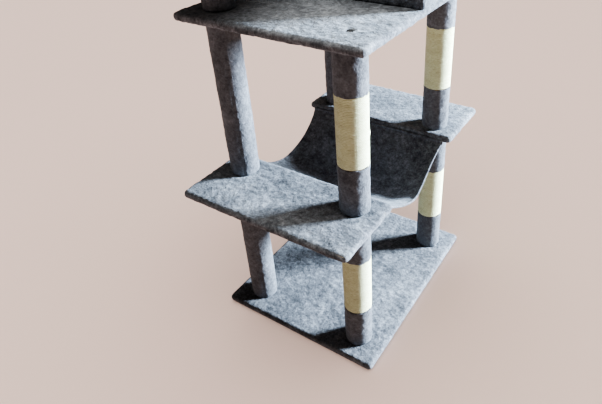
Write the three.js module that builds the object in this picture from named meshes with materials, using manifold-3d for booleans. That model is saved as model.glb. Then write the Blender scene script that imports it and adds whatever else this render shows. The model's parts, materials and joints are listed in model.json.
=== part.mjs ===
// A floor-standing cat tree: plush-covered boards on four posts, two shelves with a hammock
// slung between them, a full platform above, and on it a house and one taller post with a perch.
// Millimetres, +Z up. The origin is the middle of the underside of the base, +X runs to the right
// along the front edge, and -Y is the front.

import * as THREE from "three";
import { mergeVertices } from "three/addons/utils/BufferGeometryUtils.js";
import Module from "manifold-3d";

// ---- driving dimensions ----------------------------------------------------------------------

const FIT_GAP = 0.3; // between faces that touch
const BOARD_THICKNESS = 16;
const PLUSH_THICKNESS = 4.2; // cloth and pile on boards
const DECK_CORNER = 15; // corner radius of a covered board
const DECK_EDGE = 7; // roundness of a covered board's edges
const COVER_HEM = 40; // how far a cover turns in under its board

const POST_SPACING_X = 408; // axis to axis
const POST_SPACING_Y = 550;
const POST_RADIUS = 45; // outside the plush or sisal
const SLEEVE_THICKNESS = 4.7;
const CORE_WALL = 4.5; // cardboard tube
const CORE_END = 18; // end plug of the tube
const LOWER_POST = 520; // base to shelves
const UPPER_POST = 496; // shelves to platform
const SISAL_START = 150; // above the foot of a post
const SISAL_LENGTH = 216;

const BASE_MARGIN_X = 96; // post axis to board edge
const BASE_MARGIN_Y = 90;
const SHELF_MARGIN_X = 88;
const SHELF_INNER = 70; // post axis to the edge that faces the hammock
const SHELF_OUTER = 190;
const PLATFORM_MARGIN_X = 92;
const PLATFORM_MARGIN_Y = 90;

const HAMMOCK_WIDTH = 528;
const HAMMOCK_CLOTH = 6;
const HAMMOCK_SAG = 106; // of its free edges, below the underside of the shelves
const HAMMOCK_CUP = 44; // how much lower the middle hangs than the free edges
const HAMMOCK_DRAW = 8; // how far each free edge pulls in halfway down
const HAMMOCK_FULLNESS = 1.65; // 2 is a parabola, less is more pointed
const HAMMOCK_TACK = 20; // strip of cloth fixed to a shelf's edge

const HOUSE_WIDTH = 410;
const HOUSE_DEPTH = 425;
const HOUSE_HEIGHT = 275; // walls, without the roof
const HOUSE_WALL = 12;
const HOUSE_BACK_INSET = 8; // from the platform's back edge
const HOUSE_CORNER = 14;
const DOOR_RADIUS = 100;
const DOOR_CENTRE = 160; // above the platform

const PERCH_SIZE = 320;
const PERCH_RISE = 10; // underside of the perch above the roof of the house

const BOLT_RADIUS = 4;
const BOLT_CLEARANCE = 0.5;
const BOLT_REACH = 45; // into a post
const HEAD_RADIUS = 8;
const HEAD_HEIGHT = 5.5;
const HEAD_POCKET = 11; // radius of the hole round a bolt head
const FLOOR_CLEARANCE = 1.5; // bolt heads above the floor

const ROUND_SIDES = 20;
const BOLT_SIDES = 10;
const CORNER_STEPS = 3;

// ---- sizes that follow -----------------------------------------------------------------------

const DECK_THICKNESS = BOARD_THICKNESS + 2 * (PLUSH_THICKNESS + FIT_GAP);
const SHELF_Z = DECK_THICKNESS + LOWER_POST;
const PLATFORM_Z = SHELF_Z + DECK_THICKNESS + UPPER_POST;
const HOUSE_Z = PLATFORM_Z + DECK_THICKNESS;
const TOP_POST = HOUSE_HEIGHT + DECK_THICKNESS + PERCH_RISE;
const PERCH_Z = HOUSE_Z + TOP_POST;
const POST_X = POST_SPACING_X / 2;
const POST_Y = POST_SPACING_Y / 2;
const HOLE_RADIUS = BOLT_RADIUS + BOLT_CLEARANCE;
const COVER_INSET = PLUSH_THICKNESS + FIT_GAP;
const TOP_BOLT_SEAT = DECK_THICKNESS - COVER_INSET - HEAD_HEIGHT;
const SHELF_DEPTH = SHELF_OUTER + SHELF_INNER;
const SHELF_CENTRE_Y = POST_Y + (SHELF_OUTER - SHELF_INNER) / 2;
const HALF_SPAN = POST_Y - SHELF_INNER - FIT_GAP;
const PLATFORM_WIDTH = POST_SPACING_X + 2 * PLATFORM_MARGIN_X;
const PLATFORM_DEPTH = POST_SPACING_Y + 2 * PLATFORM_MARGIN_Y;
const HOUSE_X = (PLATFORM_WIDTH - HOUSE_WIDTH) / 2;
const HOUSE_Y = (PLATFORM_DEPTH - HOUSE_DEPTH) / 2 - HOUSE_BACK_INSET;

const CORNERS = {
  front_left: [-POST_X, -POST_Y],
  front_right: [POST_X, -POST_Y],
  back_right: [POST_X, POST_Y],
  back_left: [-POST_X, POST_Y],
};
const SISAL_CORNERS = ["front_right", "back_right"];

// ---- materials -------------------------------------------------------------------------------

const finish = (color, roughness, metalness = 0) => ({ color, roughness, metalness });
const PLUSH = finish(0x73767d, 0.95);
const SISAL = finish(0xd9cfac, 0.9);
const BOARD = finish(0xb58f64, 0.8);
const CARDBOARD = finish(0xa58a68, 0.85);
const BACKING = finish(0x45474c, 0.9);
const STEEL = finish(0x8c8f94, 0.4, 1);

// ---- solid helpers ---------------------------------------------------------------------------

const wasm = await Module();
wasm.setup();

function toSolid(geometry) {
  const bare = geometry.clone();
  bare.deleteAttribute("normal");
  bare.deleteAttribute("uv");
  const merged = mergeVertices(bare, 1e-3);
  return new wasm.Manifold(
    new wasm.Mesh({
      numProp: 3,
      vertProperties: new Float32Array(merged.attributes.position.array),
      triVerts: new Uint32Array(merged.index.array),
    }),
  );
}

function toGeometry(solid) {
  const mesh = solid.getMesh();
  const geometry = new THREE.BufferGeometry();
  geometry.setAttribute("position", new THREE.BufferAttribute(new Float32Array(mesh.vertProperties), 3));
  geometry.setIndex(new THREE.BufferAttribute(new Uint32Array(mesh.triVerts), 1));
  geometry.computeVertexNormals();
  return geometry;
}

function piece(name, geometry, look) {
  const mesh = new THREE.Mesh(geometry, new THREE.MeshStandardMaterial(look));
  mesh.name = name;
  return mesh;
}

function roundedRectangle(width, depth, radius) {
  const x = width / 2;
  const y = depth / 2;
  const shape = new THREE.Shape();
  shape.moveTo(-x + radius, -y);
  shape.lineTo(x - radius, -y);
  shape.absarc(x - radius, -y + radius, radius, -Math.PI / 2, 0, false);
  shape.lineTo(x, y - radius);
  shape.absarc(x - radius, y - radius, radius, 0, Math.PI / 2, false);
  shape.lineTo(-x + radius, y);
  shape.absarc(-x + radius, y - radius, radius, Math.PI / 2, Math.PI, false);
  shape.lineTo(-x, -y + radius);
  shape.absarc(-x + radius, -y + radius, radius, Math.PI, Math.PI * 1.5, false);
  return shape;
}

// A slab of the outline from z = low to z = high, with its top and bottom edges rounded by edge.
function slab(shape, low, high, edge = 0) {
  const geometry = new THREE.ExtrudeGeometry(shape, {
    depth: high - low - 2 * edge,
    curveSegments: CORNER_STEPS,
    bevelEnabled: edge > 0,
    bevelThickness: edge,
    bevelSize: edge,
    bevelOffset: -edge,
    bevelSegments: 1,
  });
  return geometry.translate(0, 0, low + edge);
}

function rod(radius, low, high, sides = ROUND_SIDES) {
  const geometry = new THREE.CylinderGeometry(radius, radius, high - low, sides);
  return geometry.rotateX(Math.PI / 2).translate(0, 0, (low + high) / 2);
}

function drill(solid, points, radius, low, high, sides = ROUND_SIDES) {
  return points.reduce(
    (left, [x, y]) => left.subtract(toSolid(rod(radius, low, high, sides).translate(x, y, 0))),
    solid,
  );
}

// A ring or hollow body turned about Z from a closed outline of [radius, height] points.
function turned(outline) {
  const points = [...outline, outline[0]].map(([r, z]) => new THREE.Vector2(r, z));
  return new THREE.LatheGeometry(points, ROUND_SIDES).rotateX(Math.PI / 2);
}

// ---- boards with their covers ----------------------------------------------------------------

// A particle board in its plush cover, with its underside at z = 0 of the returned group. Bolts
// pass at the given points; pockets are the points where a bolt head is sunk in the top.
function deck(name, width, depth, { bolts, pockets = [], onFloor = false }) {
  const group = new THREE.Group();
  const boardLow = COVER_INSET;
  const boardHigh = DECK_THICKNESS - COVER_INSET;
  const boardOutline = roundedRectangle(
    width - 2 * COVER_INSET,
    depth - 2 * COVER_INSET,
    DECK_CORNER - COVER_INSET,
  );
  const pocketOutline = roundedRectangle(
    width - 2 * PLUSH_THICKNESS,
    depth - 2 * PLUSH_THICKNESS,
    DECK_CORNER - PLUSH_THICKNESS,
  );

  let board = toSolid(slab(boardOutline, boardLow, boardHigh));
  board = drill(board, bolts, HOLE_RADIUS, 0, DECK_THICKNESS, BOLT_SIDES);
  board = drill(board, pockets, HEAD_POCKET, TOP_BOLT_SEAT - FIT_GAP, DECK_THICKNESS);

  const coverOutline = roundedRectangle(width, depth, DECK_CORNER);
  const coverLow = onFloor ? -DECK_EDGE : 0;
  const pocketLow = onFloor ? -DECK_THICKNESS : PLUSH_THICKNESS;
  let cover = toSolid(slab(coverOutline, coverLow, DECK_THICKNESS, DECK_EDGE));
  cover = cover.subtract(toSolid(slab(pocketOutline, pocketLow, DECK_THICKNESS - PLUSH_THICKNESS)));
  if (onFloor) {
    cover = cover.subtract(toSolid(slab(coverOutline, -2 * DECK_EDGE, 0)));
  } else {
    const hem = 2 * (PLUSH_THICKNESS + COVER_HEM);
    const window = roundedRectangle(width - hem, depth - hem, DECK_CORNER / 2);
    cover = cover.subtract(toSolid(slab(window, -DECK_THICKNESS, DECK_THICKNESS / 2)));
  }
  cover = drill(cover, bolts, HOLE_RADIUS, 0, DECK_THICKNESS * 2, BOLT_SIDES);
  cover = drill(cover, pockets, HEAD_POCKET, DECK_THICKNESS / 2, DECK_THICKNESS * 2);

  if (onFloor) {
    board = drill(board, bolts, HEAD_POCKET, -DECK_THICKNESS, FLOOR_CLEARANCE + HEAD_HEIGHT + FIT_GAP);
    let backing = toSolid(slab(boardOutline, 0, PLUSH_THICKNESS));
    backing = drill(backing, bolts, HEAD_POCKET, -DECK_THICKNESS, DECK_THICKNESS);
    group.add(piece(`${name}_backing`, toGeometry(backing), BACKING));
  }
  group.add(piece(`${name}_board`, toGeometry(board), BOARD));
  group.add(piece(`${name}_cover`, toGeometry(cover), PLUSH));
  return group;
}

// ---- posts -----------------------------------------------------------------------------------

// A cardboard tube with a plug in each end, bored for the bolts.
function postCore(length) {
  const outer = POST_RADIUS - SLEEVE_THICKNESS - FIT_GAP;
  const inner = outer - CORE_WALL;
  return turned([
    [HOLE_RADIUS, 0],
    [outer, 0],
    [outer, length],
    [HOLE_RADIUS, length],
    [HOLE_RADIUS, length - CORE_END],
    [inner, length - CORE_END],
    [inner, CORE_END],
    [HOLE_RADIUS, CORE_END],
  ]);
}

function sleeve(low, high) {
  const inner = POST_RADIUS - SLEEVE_THICKNESS;
  return turned([
    [inner, low],
    [POST_RADIUS, low],
    [POST_RADIUS, high],
    [inner, high],
  ]);
}

// A post whose foot is at z = 0 of the returned group: plain plush, or plush ends round a sisal band.
function post(name, space, hasSisal) {
  const group = new THREE.Group();
  const length = space - 2 * FIT_GAP;
  group.add(piece(`${name}_core`, postCore(length), CARDBOARD));
  if (hasSisal) {
    const sisalHigh = SISAL_START + SISAL_LENGTH;
    group.add(piece(`${name}_foot_plush`, sleeve(0, SISAL_START - FIT_GAP), PLUSH));
    group.add(piece(`${name}_sisal`, sleeve(SISAL_START, sisalHigh), SISAL));
    group.add(piece(`${name}_head_plush`, sleeve(sisalHigh + FIT_GAP, length), PLUSH));
  } else {
    group.add(piece(`${name}_plush`, sleeve(0, length), PLUSH));
  }
  return group;
}

// ---- bolts -----------------------------------------------------------------------------------

// A hexagon-head bolt along +Z with the underside of its head at z = 0, or headless, a plain stud.
function bolt(name, length, hasHead) {
  let solid = toSolid(rod(BOLT_RADIUS, hasHead ? -HEAD_HEIGHT / 2 : 0, length, BOLT_SIDES));
  if (hasHead) solid = solid.add(toSolid(rod(HEAD_RADIUS, -HEAD_HEIGHT, 0, 6)));
  return piece(name, toGeometry(solid), STEEL);
}

function addBaseBolt(tree, corner, [x, y]) {
  const seat = FLOOR_CLEARANCE + HEAD_HEIGHT;
  const mesh = bolt(`base_bolt_${corner}`, DECK_THICKNESS - seat + BOLT_REACH, true);
  mesh.position.set(x, y, seat);
  tree.add(mesh);
}

function addStud(tree, name, [x, y], deckLow) {
  const mesh = bolt(name, DECK_THICKNESS + 2 * BOLT_REACH, false);
  mesh.position.set(x, y, deckLow - BOLT_REACH);
  tree.add(mesh);
}

// A bolt from above, its head sunk level with the board under a hole in the plush.
function addTopBolt(tree, name, [x, y], deckLow) {
  const mesh = bolt(name, TOP_BOLT_SEAT + BOLT_REACH, true);
  mesh.rotation.x = Math.PI;
  mesh.position.set(x, y, deckLow + TOP_BOLT_SEAT);
  tree.add(mesh);
}

// ---- hammock ---------------------------------------------------------------------------------

// The cloth's cross-section at one place across its width, as a closed outline of [y, z] points
// measured from the underside of the shelves: a line sagging between their inner edges, thickened
// by half the cloth on both sides, with a vertical strip at each end that is fixed to a shelf.
function sagOutline(sag, steps) {
  const half = HAMMOCK_CLOTH / 2;
  const reach = HALF_SPAN - half;
  const line = Array.from({ length: steps + 1 }, (_, i) => {
    const t = (2 * i) / steps - 1;
    return [reach * t, -sag * (1 - Math.abs(t) ** HAMMOCK_FULLNESS)];
  });
  const [top, bottom] = [half, -half].map((offset) =>
    line.map(([y, z], i) => {
      if (i === 0 || i === steps) return [y + (i === 0 ? offset : -offset), z];
      const [y0, z0] = line[i - 1];
      const [y1, z1] = line[i + 1];
      const run = Math.hypot(y1 - y0, z1 - z0);
      return [y - ((z1 - z0) / run) * offset, z + ((y1 - y0) / run) * offset];
    }),
  );
  return [
    [-reach - half, HAMMOCK_TACK],
    ...bottom,
    [reach + half, HAMMOCK_TACK],
    [reach - half, HAMMOCK_TACK],
    ...top.reverse(),
    [-reach + half, HAMMOCK_TACK],
  ];
}

// A closed body through sections, each the same number of [x, y, z] points round a loop; the ends
// are filled by the triangles of the flat outline.
function loft(sections, endTriangles) {
  const count = sections[0].length;
  const last = (sections.length - 1) * count;
  const index = [];
  for (let row = 0; row < last; row += count) {
    for (let i = 0; i < count; i += 1) {
      const next = (i + 1) % count;
      index.push(row + i, row + next, row + count + i);
      index.push(row + next, row + count + next, row + count + i);
    }
  }
  for (const [a, b, c] of endTriangles) index.push(a, c, b, last + a, last + b, last + c);
  const geometry = new THREE.BufferGeometry();
  geometry.setAttribute("position", new THREE.Float32BufferAttribute(sections.flat(2), 3));
  geometry.setIndex(index);
  return geometry;
}

// One sheet that hangs like a shallow cup: its middle is lowest, and its free edges pull in
// on the way down but keep the full width at the shelves and at the bottom.
function hammock() {
  const across = 8;
  const along = 16;
  const sections = Array.from({ length: across + 1 }, (_, i) => {
    const s = (2 * i) / across - 1;
    const sag = HAMMOCK_SAG + HAMMOCK_CUP * (1 - s * s);
    return sagOutline(sag, along).map(([y, z]) => {
      const hang = Math.min(1, Math.max(0, -z / sag));
      return [s * (HAMMOCK_WIDTH / 2 - 4 * HAMMOCK_DRAW * hang * (1 - hang)), y, z];
    });
  });
  const outline = sagOutline(HAMMOCK_SAG, along).map(([y, z]) => new THREE.Vector2(y, z));
  const mesh = piece("hammock", loft(sections, THREE.ShapeUtils.triangulateShape(outline, [])), PLUSH);
  mesh.position.z = SHELF_Z;
  return mesh;
}

// ---- house -----------------------------------------------------------------------------------

function block(width, depth, height, x, y) {
  return new THREE.BoxGeometry(width, depth, height).translate(x, y, height / 2);
}

function doorCutter() {
  const reach = HOUSE_DEPTH / 2 + PLUSH_THICKNESS;
  const cutter = new THREE.CylinderGeometry(DOOR_RADIUS, DOOR_RADIUS, reach, 2 * ROUND_SIDES);
  return toSolid(cutter.translate(0, -HOUSE_DEPTH / 2, DOOR_CENTRE));
}

// Four walls in one outer cover, open at the top and bottom, with a round door in the front.
function house() {
  const group = new THREE.Group();
  const innerX = HOUSE_WIDTH / 2 - COVER_INSET;
  const innerY = HOUSE_DEPTH / 2 - COVER_INSET;
  const wallY = innerY - HOUSE_WALL / 2;
  const wallX = innerX - HOUSE_WALL / 2;
  const sideDepth = 2 * (innerY - HOUSE_WALL - FIT_GAP);
  const door = doorCutter();

  const front = toSolid(block(2 * innerX, HOUSE_WALL, HOUSE_HEIGHT, 0, -wallY)).subtract(door);
  group.add(piece("house_front_wall", toGeometry(front), BOARD));
  group.add(piece("house_back_wall", block(2 * innerX, HOUSE_WALL, HOUSE_HEIGHT, 0, wallY), BOARD));
  group.add(piece("house_left_wall", block(HOUSE_WALL, sideDepth, HOUSE_HEIGHT, -wallX, 0), BOARD));
  group.add(piece("house_right_wall", block(HOUSE_WALL, sideDepth, HOUSE_HEIGHT, wallX, 0), BOARD));

  const outer = roundedRectangle(HOUSE_WIDTH, HOUSE_DEPTH, HOUSE_CORNER);
  const inner = block(2 * (innerX + FIT_GAP), 2 * (innerY + FIT_GAP), HOUSE_HEIGHT * 2, 0, 0);
  const cover = toSolid(slab(outer, 0, HOUSE_HEIGHT))
    .subtract(toSolid(inner.translate(0, 0, -HOUSE_HEIGHT / 2)))
    .subtract(door);
  group.add(piece("house_wall_cover", toGeometry(cover), PLUSH));

  const roof = deck("house_roof", HOUSE_WIDTH, HOUSE_DEPTH, { bolts: [] });
  roof.position.z = HOUSE_HEIGHT + FIT_GAP;
  group.add(roof);
  return group;
}

// ---- the tree --------------------------------------------------------------------------------

function place(tree, group, x, y, z) {
  group.position.set(x, y, z);
  tree.add(group);
}

function shelf(tree, side, sign) {
  const width = POST_SPACING_X + 2 * SHELF_MARGIN_X;
  const postY = sign * (POST_Y - SHELF_CENTRE_Y);
  const bolts = [-POST_X, POST_X].map((x) => [x, postY]);
  place(tree, deck(`${side}_shelf`, width, SHELF_DEPTH, { bolts }), 0, sign * SHELF_CENTRE_Y, SHELF_Z);
}

function buildTree() {
  const tree = new THREE.Group();
  const axes = Object.values(CORNERS);
  const baseWidth = POST_SPACING_X + 2 * BASE_MARGIN_X;
  const baseDepth = POST_SPACING_Y + 2 * BASE_MARGIN_Y;

  tree.add(deck("base", baseWidth, baseDepth, { bolts: axes, onFloor: true }));
  shelf(tree, "front", -1);
  shelf(tree, "back", 1);
  const pockets = axes.filter((axis) => axis !== CORNERS.front_left);
  const platform = deck("platform", PLATFORM_WIDTH, PLATFORM_DEPTH, { bolts: axes, pockets });
  place(tree, platform, 0, 0, PLATFORM_Z);

  for (const [corner, [x, y]] of Object.entries(CORNERS)) {
    const hasSisal = SISAL_CORNERS.includes(corner);
    place(tree, post(`lower_${corner}`, LOWER_POST, hasSisal), x, y, DECK_THICKNESS + FIT_GAP);
    place(tree, post(`upper_${corner}`, UPPER_POST, hasSisal), x, y, SHELF_Z + DECK_THICKNESS + FIT_GAP);
    addBaseBolt(tree, corner, [x, y]);
    addStud(tree, `shelf_stud_${corner}`, [x, y], SHELF_Z);
    if (corner !== "front_left") addTopBolt(tree, `platform_bolt_${corner}`, [x, y], PLATFORM_Z);
  }

  const [perchX, perchY] = CORNERS.front_left;
  place(tree, post("top_front_left", TOP_POST, false), perchX, perchY, HOUSE_Z + FIT_GAP);
  addStud(tree, "platform_stud_front_left", [perchX, perchY], PLATFORM_Z);
  const perch = deck("perch", PERCH_SIZE, PERCH_SIZE, { bolts: [[0, 0]], pockets: [[0, 0]] });
  place(tree, perch, perchX, perchY, PERCH_Z);
  addTopBolt(tree, "perch_bolt", [perchX, perchY], PERCH_Z);

  tree.add(hammock());
  place(tree, house(), HOUSE_X, HOUSE_Y, HOUSE_Z + FIT_GAP);
  return tree;
}

export default buildTree();
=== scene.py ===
"""A plush cat tree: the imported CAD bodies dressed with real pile, rope, cloth and steel.

Lengths are in metres in the CAD frame: +Z up, the front of the tree faces -Y.
"""

import itertools
import json
import math

import bpy
import numpy as np
from mathutils import Matrix, Vector


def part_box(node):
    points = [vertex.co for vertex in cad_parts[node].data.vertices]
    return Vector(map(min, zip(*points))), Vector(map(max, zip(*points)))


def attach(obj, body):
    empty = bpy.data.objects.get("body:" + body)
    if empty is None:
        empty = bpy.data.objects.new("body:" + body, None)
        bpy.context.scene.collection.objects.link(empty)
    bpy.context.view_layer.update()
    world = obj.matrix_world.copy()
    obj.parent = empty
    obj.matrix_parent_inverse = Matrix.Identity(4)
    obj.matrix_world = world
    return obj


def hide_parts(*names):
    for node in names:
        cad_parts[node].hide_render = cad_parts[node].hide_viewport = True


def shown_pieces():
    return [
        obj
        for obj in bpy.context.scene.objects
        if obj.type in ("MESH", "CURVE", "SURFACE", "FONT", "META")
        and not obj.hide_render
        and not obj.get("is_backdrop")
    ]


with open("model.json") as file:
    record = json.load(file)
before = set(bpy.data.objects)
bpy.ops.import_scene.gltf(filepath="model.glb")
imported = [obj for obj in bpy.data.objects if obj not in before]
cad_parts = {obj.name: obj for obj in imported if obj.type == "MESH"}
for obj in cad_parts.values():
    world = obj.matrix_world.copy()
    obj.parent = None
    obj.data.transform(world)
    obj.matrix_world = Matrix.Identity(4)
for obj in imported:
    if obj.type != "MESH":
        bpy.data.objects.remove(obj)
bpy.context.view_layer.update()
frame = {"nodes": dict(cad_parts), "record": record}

MM = 0.001
TAU = 2 * math.pi

# ---- driving values --------------------------------------------------------------------------

CAMERA_PLACE = (0.842, -1.283, 1.510)
CAMERA_YAW = 33.35  # degrees left of +Y
CAMERA_PITCH = 32.04  # degrees below the horizon
CAMERA_ROLL = 2.42
CAMERA_LENS = 31.79
CAMERA_SHIFT = (-0.0731, -0.0864)

EXPOSURE = 0.2
WINDOW_BEARING = 41.0  # degrees from +X towards +Y: where the main light comes from
WINDOW_DISTANCE = 5.0
WINDOW_HEIGHT = 2.05
WINDOW_AIM = (0, 0, 0.7)
WINDOW_SIZE = (1.2, 1.1)
WINDOW_POWER = 1750
WINDOW_COLOR = (0.76, 0.89, 1.0)
CEILING_PLACE = (0.1, -0.2, 3.4)
CEILING_AIM = (0, 0, 1.0)
CEILING_SIZE = (1.2, 1.2)
CEILING_POWER = 58
CEILING_COLOR = (1.0, 1.0, 0.92)
WASH_STRENGTH = 2.5  # of the light that falls on the floor alone
WASH_ANGLE = 110  # degrees
ROOM_SEEN = (0.66, 0.49, 0.42)  # colour behind the tree, close to the lit floor's
ROOM_LIGHT = (0.56, 0.52, 0.48)
ROOM_STRENGTH = 0.19  # of the room's light on the tree
FLOOR_RADIUS = 60.0
FLOOR_SIDES = 96
FLOOR_COLOR = (0.83, 0.63, 0.55)

PILE_STEP = 4.2 * MM  # spacing of the points of a plush surface
LEAST_PILE = -1.3 * MM  # where the pile is pressed flattest, from its mean surface
PLUSH = 4.2 * MM  # thickness of the plush cloth on the boards
CLOTH_SHARE = 0.85  # of that thickness, which the visible cloth has
EDGE_ROUND = 11 * MM  # roundness of a plush-covered board's edges
CORNER_ROUND = 15 * MM  # roundness of its upright corners, seen from above
ROOF_CORNER = EDGE_ROUND + 2 * MM  # tighter, so that the roof board's corners stay covered
CROWN = 1.3 * MM  # how much lower the plush lies along a board's edges than in its middle
CROWN_REACH = 75 * MM
HEM = 40 * MM  # how far a cover is turned in underneath
POCKET = 8.2 * MM  # radius of the hole in the plush over a bolt head
POCKET_DIP = (3.2 * MM, 10 * MM)  # how deep the plush is drawn in at that hole, and over what distance
FOOT_DIP = (1.4 * MM, 14 * MM)  # the same, round the foot of a post

CORNERS = ("front_left", "front_right", "back_right", "back_left")
SISAL_CORNERS = ("front_right", "back_right")
POST_RADIUS = 45 * MM
POST_SIDES = 64
SLEEVE = 4.7 * MM  # thickness of a plush sleeve
SLEEVE_CURL = 2.4 * MM  # roundness of its ends
CURL_ANGLES = (0.0, 0.55, 1.1)  # where that roundness has points, in radians
LIP = 2.2 * MM  # how far a plush sleeve's end hangs over the sisal
LIP_DEPTH = 0.2 * MM  # how far below the sleeve's surface that lip meets the rope
RAGGED = 2.4 * MM  # how unevenly a sleeve ends against the sisal
RAGGED_REACH = 8 * MM
SEAM_WIDTH = 2.5 * MM
SEAM_DEPTH = 1.6 * MM
SEAM_TURN = 75  # degrees from the side that faces outwards to a sleeve's seam

TURN_STEPS = 64  # of the rope, for each turn
ROPE_SIDES = 8
ROPE_SINK = 0.3 * MM  # how far the rope lies below the surface of the sleeves
ROPE_SQUEEZE = 0.98  # about how far apart the turns lie, as a share of the rope's thickness
ROPE_WANDER = 0.25 * MM  # how far a turn strays in and out, and up and down
FRAY_HEIGHT = 0.42  # of the loose bump in the front right post's rope, as a share of the turns
FRAY_BEARING = 0.09  # in turns from +X towards +Y
FRAY_WIDTH = 0.13  # in radians
FRAY_LIFTS = (1.3 * MM, 2.6 * MM, 1.5 * MM)  # of the turns in the bump, from the lowest up
STRAND_TWIST = 1500.0  # radians that the strands turn for each metre along the rope
STRAND_RISE = 1300.0  # and for each metre up the post

HAMMOCK_CUP = 44 * MM  # how much lower the middle hangs than the free edges
HAMMOCK_DRAW = 8 * MM  # how far the free edges pull in halfway down
HAMMOCK_FULLNESS = 1.65  # 2 is a parabola, less is more pointed
HAMMOCK_CLOTH = 5 * MM
HAMMOCK_INSET = 3 * MM  # from the outside of the CAD's sheet to the middle of its thickness
HAMMOCK_FOLDS = 4 * MM  # height of the soft folds that run from shelf to shelf
HAMMOCK_GRID = (115, 97)  # points across it and from shelf to shelf
TACK_ROWS = (3 * MM, 6 * MM, 9 * MM, 11 * MM)  # rows of points that lie against a shelf's edge
HEM_RADIUS = 3.8 * MM  # of the rolled hems along the hammock's free edges
HEM_SIDES = 12

HOUSE_CORNER = 9 * MM  # tighter than the CAD's, so that the cloth clears the corners of the wall boards
DOOR_RADIUS = 100 * MM
DOOR_CENTRE = 160 * MM  # above the platform
DOOR_SIDES = 160
BINDING = 3.2 * MM  # thickness of the strip round the door
BINDING_REACH = 10 * MM  # how far it lies on each face of the wall


# ---- noise -----------------------------------------------------------------------------------

LATTICE_SIZE = 48
LATTICE = np.random.default_rng(11).random((LATTICE_SIZE,) * 3)


def smooth_noise(points, cell):
    """Noise from -1 to 1 at each point, with lumps about one cell across."""
    scaled = points / cell
    low = np.floor(scaled).astype(int)
    t = scaled - low
    t = t * t * (3 - 2 * t)
    total = np.zeros(len(points))
    for corner in itertools.product((0, 1), repeat=3):
        at = (low + corner) % LATTICE_SIZE
        weight = np.where(corner, t, 1 - t).prod(axis=1)
        total += weight * LATTICE[at[:, 0], at[:, 1], at[:, 2]]
    return 2 * total - 1


def pile_height(points):
    """How far the pile stands out from its mean surface: tufts, clumps and brushed patches.

    Each layer reads the noise at a place of its own, so that the layers don't line up.
    """
    tufts = 0.5 * MM * smooth_noise(points, 5.5 * MM)
    clumps = 1.1 * MM * smooth_noise(points + 0.37, 12 * MM)
    patches = 0.9 * MM * smooth_noise(points + 0.71, 38 * MM)
    return np.maximum(tufts + clumps + patches, LEAST_PILE)


# ---- mesh helpers ----------------------------------------------------------------------------


def new_piece(name, points, faces, material, stands_for=()):
    """A smooth-shaded mesh that rides on the tree's one body and may replace CAD nodes."""
    mesh = bpy.data.meshes.new(name)
    mesh.from_pydata([tuple(p) for p in points], [], [tuple(f) for f in faces])
    mesh.polygons.foreach_set("use_smooth", [True] * len(mesh.polygons))
    mesh.materials.append(material)
    mesh.update()
    piece = bpy.data.objects.new(name, mesh)
    bpy.context.scene.collection.objects.link(piece)
    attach(piece, "root")
    if stands_for:
        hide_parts(*stands_for)
    return piece


def raise_pile(piece, share=1.0):
    """Moves each point out along its normal by the pile's height there, and none below the floor."""
    mesh = piece.data
    points = np.empty(len(mesh.vertices) * 3)
    normals = np.empty(len(mesh.vertices) * 3)
    mesh.vertices.foreach_get("co", points)
    mesh.vertices.foreach_get("normal", normals)
    points = points.reshape(-1, 3)
    moved = points + normals.reshape(-1, 3) * (share * pile_height(points))[:, None]
    moved[:, 2] = np.maximum(moved[:, 2], 0)
    mesh.vertices.foreach_set("co", moved.ravel())
    mesh.update()


def ring_faces(rows, columns, closed=False):
    """Quads between rows of points that each run once round.

    closed joins the last row to the first.
    """
    faces = []
    for row in range(rows if closed else rows - 1):
        here = row * columns
        above = (row + 1) % rows * columns
        for column in range(columns):
            beside = (column + 1) % columns
            faces.append((here + column, here + beside, above + beside, above + column))
    return faces


def box_grid(half, step):
    """Points and quads of the surface of a box, gridded at about the step."""
    counts = [max(1, round(2 * h / step)) for h in half]
    points = []
    faces = []
    found = {}

    def index(key):
        if key not in found:
            found[key] = len(points)
            points.append([(2 * k / n - 1) * h for k, n, h in zip(key, counts, half)])
        return found[key]

    for axis in range(3):
        a, b = (axis + 1) % 3, (axis + 2) % 3
        for side in (0, counts[axis]):
            for i in range(counts[a]):
                for j in range(counts[b]):
                    ring = [(i, j), (i + 1, j), (i + 1, j + 1), (i, j + 1)]
                    if side == 0:
                        ring.reverse()
                    quad = []
                    for p, q in ring:
                        key = [0, 0, 0]
                        key[axis], key[a], key[b] = side, p, q
                        quad.append(index(tuple(key)))
                    faces.append(tuple(quad))
    return np.array(points), faces


def round_off(points, half, edge, corner):
    """Moves points on a box to the slab with those rounded edges and upright corners."""
    inner = np.array(half) - edge
    core = np.clip(points, -inner, inner)
    turn = inner[:2] - (corner - edge)
    plan = np.clip(core[:, :2], -turn, turn)
    out = core[:, :2] - plan
    length = np.linalg.norm(out, axis=1, keepdims=True)
    reach = np.minimum(length, corner - edge)
    core[:, :2] = plan + out / np.maximum(length, 1e-9) * reach
    away = points - core
    return core + away / np.maximum(np.linalg.norm(away, axis=1, keepdims=True), 1e-9) * edge


def cut_round(points, faces, across, centre, radius, near):
    """Opens a round hole: drops the faces inside it and draws its edge onto the circle.

    across are the two axes that the circle lies in, and near marks the points that it may touch.
    """
    plane = points[:, across] - np.array(centre)
    away = np.linalg.norm(plane, axis=1)
    kept = []
    for face in faces:
        inside = near[list(face)].all() and np.linalg.norm(plane[list(face)].mean(axis=0)) < radius
        if not inside:
            kept.append(face)
    edge = near & (away < radius + 0.4 * PILE_STEP)
    points[np.ix_(edge, across)] = np.array(centre) + plane[edge] / away[edge, None] * radius
    return kept


def only_used(points, faces):
    """Drops the points that no face uses."""
    used = sorted({i for face in faces for i in face})
    renumbered = {old: new for new, old in enumerate(used)}
    return points[used], [tuple(renumbered[i] for i in face) for face in faces]


# ---- shader helpers --------------------------------------------------------------------------


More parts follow.
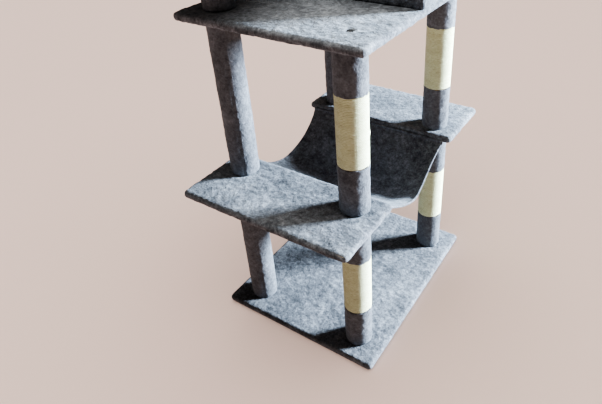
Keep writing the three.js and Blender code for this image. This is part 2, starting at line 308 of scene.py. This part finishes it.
class Shader:
    """A material's node tree, with short calls for the nodes that the looks below use."""

    def __init__(self, name, roughness, **sockets):
        self.material = bpy.data.materials.new(name)
        self.material.use_nodes = True
        self.tree = self.material.node_tree
        self.surface = self.tree.nodes["Principled BSDF"]
        self.surface.inputs["Roughness"].default_value = roughness
        for socket, value in sockets.items():
            self.surface.inputs[socket.replace("_", " ")].default_value = value
        self.place = self.tree.nodes.new("ShaderNodeTexCoord").outputs["Object"]

    def link(self, output, socket):
        self.tree.links.new(output, socket)

    def noise(self, size, detail=2.0, rough=0.5, warp=0.0, place=None):
        """Noise with features about size metres across."""
        node = self.tree.nodes.new("ShaderNodeTexNoise")
        node.inputs["Scale"].default_value = 1 / size
        node.inputs["Detail"].default_value = detail
        node.inputs["Roughness"].default_value = rough
        node.inputs["Distortion"].default_value = warp
        self.link(place or self.place, node.inputs["Vector"])
        return node.outputs["Fac"]

    def stretched(self, scale, place=None):
        node = self.tree.nodes.new("ShaderNodeMapping")
        node.inputs["Scale"].default_value = scale
        self.link(place or self.place, node.inputs["Vector"])
        return node.outputs["Vector"]

    def math(self, operation, first, second=0.0):
        node = self.tree.nodes.new("ShaderNodeMath")
        node.operation = operation
        for socket, value in zip(node.inputs, (first, second)):
            if isinstance(value, (int, float)):
                socket.default_value = value
            else:
                self.link(value, socket)
        return node.outputs["Value"]

    def ramp(self, value, stops):
        """Colours along a value: stops are (position, (r, g, b))."""
        node = self.tree.nodes.new("ShaderNodeValToRGB")
        ramp = node.color_ramp
        while len(ramp.elements) < len(stops):
            ramp.elements.new(0.5)
        for element, (position, color) in zip(ramp.elements, stops):
            element.position = position
            element.color = (*color, 1)
        self.link(value, node.inputs["Fac"])
        return node.outputs["Color"]

    def multiply(self, first, second):
        """The product of two colours."""
        node = self.tree.nodes.new("ShaderNodeMix")
        node.data_type = "RGBA"
        node.blend_type = "MULTIPLY"
        node.inputs["Factor"].default_value = 1.0
        colors = [socket for socket in node.inputs if socket.type == "RGBA"]
        self.link(first, colors[0])
        self.link(second, colors[1])
        return next(socket for socket in node.outputs if socket.type == "RGBA")

    def bump(self, height, distance, strength=1.0, under=None):
        node = self.tree.nodes.new("ShaderNodeBump")
        node.inputs["Distance"].default_value = distance
        node.inputs["Strength"].default_value = strength
        self.link(height, node.inputs["Height"])
        if under is not None:
            self.link(under, node.inputs["Normal"])
        return node.outputs["Normal"]

    def finish(self, color, normal=None):
        self.link(color, self.surface.inputs["Base Color"])
        if normal is not None:
            self.link(normal, self.surface.inputs["Normal"])
        return self.material


# ---- materials -------------------------------------------------------------------------------


def plush_material(name, mottle):
    """Short pile: broad brushed areas, clumps that stand or lie, tufts and single hairs."""
    s = Shader(
        name,
        0.95,
        Sheen_Weight=0.25,
        Sheen_Roughness=0.5,
        Sheen_Tint=(0.82, 0.9, 1.0, 1),
        Specular_IOR_Level=0.1,
    )
    brushed = s.noise(0.15, detail=1)
    patches = s.noise(0.034, detail=2, warp=0.5)
    clumps = s.noise(0.0115, detail=3, rough=0.6, warp=0.3)
    tufts = s.noise(0.0055, detail=2, rough=0.6)
    hairs = s.noise(0.0015, detail=2, rough=0.7)
    layers = [(brushed, 0.17), (patches, 0.2), (clumps, 0.31), (tufts, 0.2), (hairs, 0.12)]
    tone = 0.0
    for layer, share in layers:
        tone = s.math("ADD", s.math("MULTIPLY", layer, share), tone)
    stops = [
        (-0.15, (0.036, 0.037, 0.043)),
        (-0.05, (0.103, 0.107, 0.121)),
        (0.03, (0.182, 0.19, 0.213)),
        (0.14, (0.335, 0.35, 0.38)),
    ]
    color = s.ramp(tone, [(0.5 + offset / mottle, shade) for offset, shade in stops])
    normal = s.bump(clumps, 2.4 * MM, 0.7)
    normal = s.bump(tufts, 1.4 * MM, 0.8, under=normal)
    normal = s.bump(hairs, 0.6 * MM, 0.8, under=normal)
    return s.finish(color, normal)


def sisal_material():
    """Natural fibre rope: fine strands along the turns, and here and there a darker length."""
    s = Shader("sisal", 0.85, Sheen_Weight=0.4, Sheen_Roughness=0.5, Specular_IOR_Level=0.2)
    split = s.tree.nodes.new("ShaderNodeSeparateXYZ")
    s.link(s.place, split.inputs["Vector"])
    angle = s.math("ARCTAN2", split.outputs["Y"], split.outputs["X"])
    along = s.math("MULTIPLY", angle, POST_RADIUS)
    unrolled = s.tree.nodes.new("ShaderNodeCombineXYZ")
    s.link(along, unrolled.inputs["X"])
    s.link(split.outputs["Z"], unrolled.inputs["Y"])
    flat = unrolled.outputs["Vector"]
    turned = s.math("MULTIPLY", along, STRAND_TWIST)
    risen = s.math("MULTIPLY", split.outputs["Z"], STRAND_RISE)
    twist = s.math("SINE", s.math("ADD", turned, risen))
    fibres = s.noise(0.0016, detail=3, rough=0.65, place=s.stretched((0.16, 1.0, 1.0), flat))
    lengths = s.noise(0.03, detail=2, place=s.stretched((0.4, 1.6, 1.0), flat))
    color = s.ramp(
        fibres,
        [(0.3, (0.62, 0.63, 0.4)), (0.5, (0.82, 0.86, 0.61)), (0.7, (0.92, 0.96, 0.8))],
    )
    shade = s.ramp(lengths, [(0.3, (0.88, 0.87, 0.82)), (0.6, (1.0, 1.0, 1.0))])
    color = s.multiply(color, shade)
    normal = s.bump(twist, 0.5 * MM, 0.5)
    normal = s.bump(fibres, 0.5 * MM, 0.7, under=normal)
    return s.finish(color, normal)


def board_material():
    """Raw particle board: pressed chips of pale and brown wood."""
    s = Shader("particle_board", 0.75, Specular_IOR_Level=0.3)
    chips = s.tree.nodes.new("ShaderNodeTexVoronoi")
    chips.inputs["Scale"].default_value = 260
    s.link(s.stretched((1.0, 0.55, 2.0)), chips.inputs["Vector"])
    grain = s.noise(0.004, detail=4, rough=0.6)
    edges = s.math("MULTIPLY", chips.outputs["Distance"], 0.7)
    tone = s.math("ADD", edges, s.math("MULTIPLY", grain, 0.5))
    color = s.ramp(
        tone,
        [(0.3, (0.24, 0.14, 0.07)), (0.5, (0.47, 0.32, 0.18)), (0.75, (0.66, 0.5, 0.32))],
    )
    return s.finish(color, s.bump(tone, 0.4 * MM, 0.6))


def cardboard_material():
    """Wound grey-brown cardboard with faint fibres."""
    s = Shader("cardboard", 0.85, Specular_IOR_Level=0.2)
    fibres = s.noise(0.003, detail=4, rough=0.7, place=s.stretched((1.0, 1.0, 3.0)))
    color = s.ramp(fibres, [(0.3, (0.24, 0.16, 0.09)), (0.7, (0.42, 0.3, 0.19))])
    return s.finish(color, s.bump(fibres, 0.2 * MM, 0.5))


def felt_material():
    """Thin dark backing felt."""
    s = Shader("felt", 0.95, Sheen_Weight=0.2, Specular_IOR_Level=0.1)
    fibres = s.noise(0.002, detail=4, rough=0.7)
    color = s.ramp(fibres, [(0.3, (0.03, 0.031, 0.034)), (0.7, (0.075, 0.077, 0.083))])
    return s.finish(color, s.bump(fibres, 0.4 * MM, 0.8))


def steel_material():
    """Zinc-plated steel with the soft blotches of the plating."""
    s = Shader("zinc_steel", 0.5, Metallic=1.0)
    blotches = s.noise(0.004, detail=3)
    color = s.ramp(blotches, [(0.3, (0.24, 0.245, 0.26)), (0.7, (0.36, 0.37, 0.39))])
    return s.finish(color, s.bump(blotches, 0.05 * MM, 0.3))


DECK_PLUSH = plush_material("deck_plush", 1.0)
POST_PLUSH = plush_material("post_plush", 0.6)
SISAL_LOOK = sisal_material()
STEEL_LOOK = steel_material()
CARRIED_LOOKS = {
    "board": board_material(),
    "cardboard": cardboard_material(),
    "backing": felt_material(),
    "steel": STEEL_LOOK,
}


# ---- plush on the boards ---------------------------------------------------------------------


def press_down(points, centre, radius, dip):
    """Lowers the pile round a point: fully inside the radius, and fading out over the dip's reach."""
    depth, reach = dip
    away = np.linalg.norm(points[:, :2] - np.array(centre), axis=1)
    points[:, 2] -= depth * np.clip((radius + reach - away) / reach, 0, 1) ** 2


def add_cloth(piece, thickness, offset=-1):
    """Gives a surface the thickness of cloth: inwards, or to both sides with an offset of 0."""
    cloth = piece.modifiers.new("cloth", "SOLIDIFY")
    cloth.thickness = thickness
    cloth.offset = offset


def covered_slab(half, corner, hem):
    """The surface of a board's plush about its middle, open underneath but for a hem."""
    points, faces = box_grid(half, PILE_STEP)
    opening = np.array(half[:2]) - hem
    under = points[:, 2] < -half.z + 1e-6
    open_point = under & np.all(np.abs(points[:, :2]) < opening, axis=1)
    faces = [face for face in faces if not open_point[list(face)].all()]
    from_edge = (np.array(half[:2]) - np.abs(points[:, :2])).min(axis=1)
    crown = CROWN * np.clip(1 - from_edge / CROWN_REACH, 0, 1) ** 2
    points = round_off(points, half, EDGE_ROUND, corner)
    points[:, 2] -= crown * np.clip(points[:, 2] / half.z, 0, 1)
    return points, faces


def deck_plush(deck, pockets=(), feet=(), corner=CORNER_ROUND):
    """The plush cover of one board: over the top and edges and turned in underneath."""
    low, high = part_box(f"{deck}_cover")
    hem = PLUSH if deck == "base" else HEM  # the base's cover ends at the edge, beside the felt
    points, faces = covered_slab((high - low) / 2, corner, hem)
    points += np.array((low + high) / 2)
    top = points[:, 2] > high.z - CROWN - 1 * MM
    for pocket in pockets:
        faces = cut_round(points, faces, [0, 1], pocket, POCKET, top)
    shaped = points[top]
    for foot in feet:
        press_down(shaped, foot, POST_RADIUS, FOOT_DIP)
    for pocket in pockets:
        press_down(shaped, pocket, POCKET, POCKET_DIP)
    points[top] = shaped
    points, faces = only_used(points, faces)
    piece = new_piece(f"{deck}_plush", points, faces, DECK_PLUSH, [f"{deck}_cover"])
    raise_pile(piece)
    add_cloth(piece, CLOTH_SHARE * PLUSH)


# ---- posts -----------------------------------------------------------------------------------


def post_axis(corner):
    low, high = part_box(f"lower_{corner}_core")
    return (low.x + high.x) / 2, (low.y + high.y) / 2


def sleeve_profile(low, high, lip_low, lip_high):
    """Radius and height up one side of a sleeve; a lip is how far an end reaches over the sisal."""
    inner = POST_RADIUS - SLEEVE
    on_rope = POST_RADIUS - LIP_DEPTH
    curl = []
    for angle in CURL_ANGLES:
        radius = POST_RADIUS - SLEEVE_CURL * (1 - math.sin(angle))
        curl.append((radius, SLEEVE_CURL * (1 - math.cos(angle))))
    rows = max(4, round((high - low) / PILE_STEP))
    profile = [(inner, low)]
    if lip_low:
        profile += [(on_rope, low), (on_rope, low - lip_low)]
    profile += [(radius, low - lip_low + rise) for radius, rise in curl]
    profile += [(POST_RADIUS, z) for z in np.linspace(low + SLEEVE_CURL, high - SLEEVE_CURL, rows)]
    profile += [(radius, high + lip_high - rise) for radius, rise in reversed(curl)]
    if lip_high:
        profile += [(on_rope, high + lip_high), (on_rope, high)]
    profile.append((inner, high))
    return profile


def post_plush(node, seam_bearing, lip_low=0.0, lip_high=0.0):
    """One plush sleeve: its two edges meet in a seam, and beside the sisal its ends are ragged."""
    low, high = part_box(node)
    centre = (low + high) / 2
    profile = sleeve_profile(low.z, high.z, lip_low, lip_high)
    turns = TAU * np.arange(POST_SIDES) / POST_SIDES
    from_seam = np.abs((turns - seam_bearing + math.pi) % TAU - math.pi) * POST_RADIUS
    groove = SEAM_DEPTH * np.exp(-((from_seam / SEAM_WIDTH) ** 2))
    rows = []
    for r, z in profile:
        reach = r - (groove if r > POST_RADIUS - SLEEVE / 2 else 0)
        x = centre.x + reach * np.cos(turns)
        y = centre.y + reach * np.sin(turns)
        rows.append(np.stack([x, y, np.full(POST_SIDES, z)], axis=1))
    points = np.concatenate(rows)
    if lip_low or lip_high:
        ragged = RAGGED * smooth_noise(points * (1, 1, 0) + centre.z, 9 * MM)
        end = np.minimum(points[:, 2] - low.z, high.z - points[:, 2])
        points[:, 2] += ragged * np.clip(1 - end / RAGGED_REACH, 0, 1)
    faces = ring_faces(len(profile), POST_SIDES, closed=True)
    piece = new_piece(f"{node}_pile", points, faces, POST_PLUSH, [node])
    raise_pile(piece, share=0.8)


def sisal_rope(node, frayed=False):
    """Rope wound round a post in touching turns, a true helix from foot to head."""
    low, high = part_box(node)
    axis = (low + high) / 2
    height = high.z - low.z
    reach = POST_RADIUS - SLEEVE / 2 - ROPE_SINK
    turns = round(height / (ROPE_SQUEEZE * SLEEVE)) - 1
    pitch = (height - SLEEVE) / turns
    count = turns * TURN_STEPS + 1
    turn = TAU * np.arange(count) / TURN_STEPS
    rise = low.z - axis.z + SLEEVE / 2 + pitch * np.arange(count) / TURN_STEPS
    probe = np.stack([POST_RADIUS * turn, np.zeros(count), 40 * rise], axis=1)
    ripple = ROPE_WANDER * smooth_noise(probe + axis.x, 17 * MM)
    waver = ROPE_WANDER * smooth_noise(probe + axis.y + 5.0, 30 * MM)
    if frayed:
        for lap, lift in enumerate(FRAY_LIFTS):
            end_turn = TAU * (round(FRAY_HEIGHT * turns) + FRAY_BEARING + lap)
            ripple = ripple + lift * np.exp(-(((turn - end_turn) / FRAY_WIDTH) ** 2))
    rings = []
    for k in range(ROPE_SIDES):
        around = TAU * k / ROPE_SIDES
        out = reach + ripple + SLEEVE / 2 * math.cos(around)
        z = rise + waver + SLEEVE / 2 * math.sin(around)
        rings.append(np.stack([np.cos(turn) * out, np.sin(turn) * out, z], axis=1))
    points = np.stack(rings, axis=1).reshape(-1, 3)
    faces = ring_faces(count, ROPE_SIDES)
    faces.append(tuple(range(ROPE_SIDES - 1, -1, -1)))
    faces.append(tuple(range((count - 1) * ROPE_SIDES, count * ROPE_SIDES)))
    piece = new_piece(f"{node}_rope", points, faces, SISAL_LOOK, [node])
    piece.location = axis


def dress_posts():
    for corner in CORNERS:
        x, y = post_axis(corner)
        seam = math.atan2(y, x) + math.radians(SEAM_TURN)
        for level in ("lower", "upper"):
            name = f"{level}_{corner}"
            if corner in SISAL_CORNERS:
                post_plush(f"{name}_foot_plush", seam, lip_high=LIP)
                sisal_rope(f"{name}_sisal", frayed=name == "upper_front_right")
                post_plush(f"{name}_head_plush", seam, lip_low=LIP)
            else:
                post_plush(f"{name}_plush", seam)
        if corner == "front_left":
            post_plush("top_front_left_plush", seam)


# ---- hammock ---------------------------------------------------------------------------------


def rolled_hem(name, line):
    """A round hem along one free edge: a tube whose rings lie across the edge."""
    slope = np.gradient(line, axis=0)
    slope /= np.linalg.norm(slope, axis=1, keepdims=True)
    outward = np.array([1.0, 0.0, 0.0])
    upward = np.cross(outward, slope)
    upward /= np.linalg.norm(upward, axis=1, keepdims=True)
    rings = []
    for k in range(HEM_SIDES):
        turn = TAU * k / HEM_SIDES
        rings.append(line + HEM_RADIUS * (math.cos(turn) * outward + math.sin(turn) * upward))
    points = np.stack(rings, axis=1).reshape(-1, 3)
    faces = [face[::-1] for face in ring_faces(len(line), HEM_SIDES)]
    faces.append(tuple(range(HEM_SIDES)))
    faces.append(tuple(reversed(range((len(line) - 1) * HEM_SIDES, len(line) * HEM_SIDES))))
    piece = new_piece(name, points, faces, DECK_PLUSH)
    raise_pile(piece, share=0.35)
    return piece


def hammock_cloth():
    """One sheet hung between the shelves: a shallow cup that pulls in at its free edges."""
    low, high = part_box("hammock")
    shelf_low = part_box("front_shelf_cover")[0].z
    reach = (high.y - low.y) / 2 - HAMMOCK_INSET
    half_width = (high.x - low.x) / 2
    edge_sag = shelf_low - low.z - HAMMOCK_CUP - HAMMOCK_INSET
    columns, rows = HAMMOCK_GRID
    u = np.linspace(-1, 1, columns)
    v = np.linspace(-1, 1, rows)
    v_grid, u_grid = np.meshgrid(v, u, indexing="ij")
    hang = 1 - np.abs(v_grid) ** HAMMOCK_FULLNESS
    x = u_grid * (half_width - 4 * HAMMOCK_DRAW * hang * (1 - hang))
    y = reach * v_grid
    z = shelf_low - hang * (edge_sag + HAMMOCK_CUP * (1 - u_grid**2))
    lines = np.stack([x, 0.3 * y, np.zeros_like(x)], axis=-1).reshape(-1, 3)
    z += HAMMOCK_FOLDS * smooth_noise(lines, 60 * MM).reshape(z.shape) * (1 - v_grid**4)
    strip = np.array(TACK_ROWS)
    ends = []
    for side, rise in ((-1, strip[::-1]), (1, strip)):
        xs, zs = np.meshgrid(u * half_width, shelf_low + rise)
        ends.append(np.stack([xs, np.full_like(xs, side * reach), zs], axis=-1))
    grid = np.concatenate([ends[0], np.stack([x, y, z], axis=-1), ends[1]])
    faces = []
    for r in range(len(grid) - 1):
        for c in range(columns - 1):
            at = r * columns + c
            faces.append((at, at + 1, at + columns + 1, at + columns))
    piece = new_piece("hammock_cloth", grid.reshape(-1, 3), faces, DECK_PLUSH, ["hammock"])
    raise_pile(piece, share=0.5)
    add_cloth(piece, HAMMOCK_CLOTH, offset=0)
    hems = [
        rolled_hem("hammock_hem_left", grid[:, 0]),
        rolled_hem("hammock_hem_right", grid[:, -1]),
    ]


# ---- house -----------------------------------------------------------------------------------


def rounded_loop(half_x, half_y, radius, step):
    """Points round a rounded rectangle, evenly spaced along each straight and each corner."""
    loop = []
    corner_points = max(2, round(radius * math.pi / 2 / step))
    for quarter, (sx, sy) in enumerate(((1, 1), (-1, 1), (-1, -1), (1, -1))):
        centre = (sx * (half_x - radius), sy * (half_y - radius))
        for k in range(corner_points):
            turn = math.pi / 2 * (quarter + k / corner_points)
            loop.append((centre[0] + radius * math.cos(turn), centre[1] + radius * math.sin(turn)))
        turn = math.pi / 2 * (quarter + 1)
        start = (centre[0] + radius * math.cos(turn), centre[1] + radius * math.sin(turn))
        direction = (-math.sin(turn), math.cos(turn))
        straight = 2 * ((half_x if quarter % 2 == 0 else half_y) - radius)
        count = round(straight / step)
        for k in range(count):
            along = straight * k / count
            loop.append((start[0] + direction[0] * along, start[1] + direction[1] * along))
    return np.array(loop)


def house_plush():
    """Plush round the four walls, open where the round door is."""
    low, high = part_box("house_wall_cover")
    centre = (low + high) / 2
    half = (high - low) / 2
    loop = rounded_loop(half.x, half.y, HOUSE_CORNER, PILE_STEP) + np.array(centre[:2])
    heights = np.linspace(low.z, high.z, round(2 * half.z / PILE_STEP))
    points = np.array([(x, y, z) for z in heights for x, y in loop])
    faces = ring_faces(len(heights), len(loop))
    front = points[:, 1] < low.y + 1e-5
    door = (centre.x, low.z + DOOR_CENTRE)
    faces = cut_round(points, faces, [0, 2], door, DOOR_RADIUS, front)
    points, faces = only_used(points, faces)
    piece = new_piece("house_wall_plush", points, faces, DECK_PLUSH, ["house_wall_cover"])
    raise_pile(piece)
    add_cloth(piece, CLOTH_SHARE * PLUSH)


def door_binding():
    """A folded plush strip that wraps the cut edge of the door from the outer face to the inner one."""
    wall_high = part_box("house_front_wall")[1]
    cover_low, cover_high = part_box("house_wall_cover")
    centre_x = (cover_low.x + cover_high.x) / 2
    centre_z = cover_low.z + DOOR_CENTRE
    outer = cover_low.y - 1.5 * MM
    inner = wall_high.y + 0.3 * MM
    rim = DOOR_RADIUS - 0.5 * MM
    section = [
        (rim + BINDING_REACH, outer),
        (rim + BINDING_REACH, outer - BINDING * 0.6),
        (rim + BINDING_REACH * 0.6, outer - BINDING),
        (rim, outer - BINDING),
        (rim - BINDING * 0.8, outer - BINDING * 0.4),
        (rim - BINDING, (outer + inner) / 2),
        (rim - BINDING * 0.8, inner + BINDING * 0.4),
        (rim, inner + BINDING),
        (rim + BINDING_REACH * 0.6, inner + BINDING),
        (rim + BINDING_REACH, inner + BINDING * 0.6),
        (rim + BINDING_REACH, inner),
        (rim, inner),
        (rim, outer),
    ]
    points = []
    for r, y in section:
        for k in range(DOOR_SIDES):
            turn = TAU * k / DOOR_SIDES
            points.append((centre_x + r * math.cos(turn), y, centre_z + r * math.sin(turn)))
    faces = ring_faces(len(section), DOOR_SIDES, closed=True)
    piece = new_piece("house_door_binding", np.array(points), faces, DECK_PLUSH)
    raise_pile(piece, share=0.4)


# ---- carried-over bodies ---------------------------------------------------------------------


def dress_carried_nodes():
    """Better materials on the CAD bodies that are shown as they are."""
    slots = {row["node"]: row["material_slot"] for row in frame["record"]["subparts"]}
    for name, node in frame["nodes"].items():
        look = CARRIED_LOOKS.get(slots[name])
        if look is not None:
            node.data.materials.clear()
            node.data.materials.append(look)


# ---- stage -----------------------------------------------------------------------------------


def make_camera():
    data = bpy.data.cameras.new("camera")
    data.lens = CAMERA_LENS
    data.sensor_width = 36
    data.shift_x, data.shift_y = CAMERA_SHIFT
    camera = bpy.data.objects.new("camera", data)
    turn = Matrix.Rotation(math.radians(CAMERA_YAW), 3, "Z")
    tip = Matrix.Rotation(math.radians(90 - CAMERA_PITCH), 3, "X")
    roll = Matrix.Rotation(math.radians(-CAMERA_ROLL), 3, "Z")
    camera.matrix_world = Matrix.Translation(CAMERA_PLACE) @ (turn @ tip @ roll).to_4x4()
    bpy.context.scene.collection.objects.link(camera)
    bpy.context.scene.camera = camera


def area_light(name, place, aim, size, power, color, lit):
    """A rectangular light that shines on one collection only."""
    data = bpy.data.lights.new(name, "AREA")
    data.shape = "RECTANGLE"
    data.size, data.size_y = size
    data.energy = power
    data.color = color
    light = bpy.data.objects.new(name, data)
    light.location = place
    light.rotation_euler = (Vector(aim) - Vector(place)).to_track_quat("-Z", "Y").to_euler()
    bpy.context.scene.collection.objects.link(light)
    light.light_linking.receiver_collection = lit


def floor_wash(lit):
    """A broad soft light that falls straight down on the floor alone."""
    data = bpy.data.lights.new("wash", "SUN")
    data.energy = WASH_STRENGTH
    data.angle = math.radians(WASH_ANGLE)
    wash = bpy.data.objects.new("wash", data)
    bpy.context.scene.collection.objects.link(wash)
    wash.light_linking.receiver_collection = lit


def make_floor():
    material = bpy.data.materials.new("floor")
    material.use_nodes = True
    surface = material.node_tree.nodes["Principled BSDF"]
    surface.inputs["Base Color"].default_value = (*FLOOR_COLOR, 1)
    surface.inputs["Roughness"].default_value = 0.8
    turns = [TAU * k / FLOOR_SIDES for k in range(FLOOR_SIDES)]
    rim = [(FLOOR_RADIUS * math.cos(turn), FLOOR_RADIUS * math.sin(turn), 0) for turn in turns]
    mesh = bpy.data.meshes.new("floor")
    mesh.from_pydata(rim, [], [tuple(range(FLOOR_SIDES))])
    mesh.materials.append(material)
    floor = bpy.data.objects.new("floor", mesh)
    bpy.context.scene.collection.objects.link(floor)
    floor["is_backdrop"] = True
    return floor


def make_stage():
    """A pale floor and room, a window light on one side of the tree and a dim light above it."""
    view = bpy.context.scene.view_settings
    view.view_transform = "AgX"
    view.look = "AgX - High Contrast"
    view.exposure = EXPOSURE
    bpy.context.scene.world = room()
    floor_only = bpy.data.collections.new("floor_only")
    floor_only.objects.link(make_floor())
    tree_only = bpy.data.collections.new("tree_only")
    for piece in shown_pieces():
        tree_only.objects.link(piece)
    bearing = math.radians(WINDOW_BEARING)
    window = (
        WINDOW_DISTANCE * math.cos(bearing),
        WINDOW_DISTANCE * math.sin(bearing),
        WINDOW_HEIGHT,
    )
    area_light("window", window, WINDOW_AIM, WINDOW_SIZE, WINDOW_POWER, WINDOW_COLOR, tree_only)
    area_light(
        "ceiling",
        CEILING_PLACE,
        CEILING_AIM,
        CEILING_SIZE,
        CEILING_POWER,
        CEILING_COLOR,
        tree_only,
    )
    floor_wash(floor_only)


def room():
    """A pale room to look at, which sends much less light onto the tree than it shows."""
    world = bpy.data.worlds.new("room")
    world.use_nodes = True
    nodes = world.node_tree.nodes
    links = world.node_tree.links
    shown = nodes["Background"]
    shown.inputs["Color"].default_value = (*ROOM_SEEN, 1)
    lighting = nodes.new("ShaderNodeBackground")
    lighting.inputs["Color"].default_value = (*ROOM_LIGHT, 1)
    lighting.inputs["Strength"].default_value = ROOM_STRENGTH
    ray = nodes.new("ShaderNodeLightPath")
    choose = nodes.new("ShaderNodeMixShader")
    links.new(ray.outputs["Is Camera Ray"], choose.inputs["Fac"])
    links.new(lighting.outputs["Background"], choose.inputs[1])
    links.new(shown.outputs["Background"], choose.inputs[2])
    links.new(choose.outputs["Shader"], nodes["World Output"].inputs["Surface"])
    return world


# ---- the tree --------------------------------------------------------------------------------


def main():
    make_camera()
    feet = [post_axis(corner) for corner in CORNERS]
    front = feet[:2]
    back = feet[2:]
    going_on = feet[:1]  # the post that goes on above the platform
    ending = feet[1:]
    deck_plush("base", feet=feet)
    deck_plush("front_shelf", feet=front)
    deck_plush("back_shelf", feet=back)
    deck_plush("platform", pockets=ending, feet=going_on)
    deck_plush("perch", pockets=going_on)
    deck_plush("house_roof", corner=ROOF_CORNER)
    dress_posts()
    hammock_cloth()
    house_plush()
    door_binding()
    dress_carried_nodes()
    make_stage()


main()
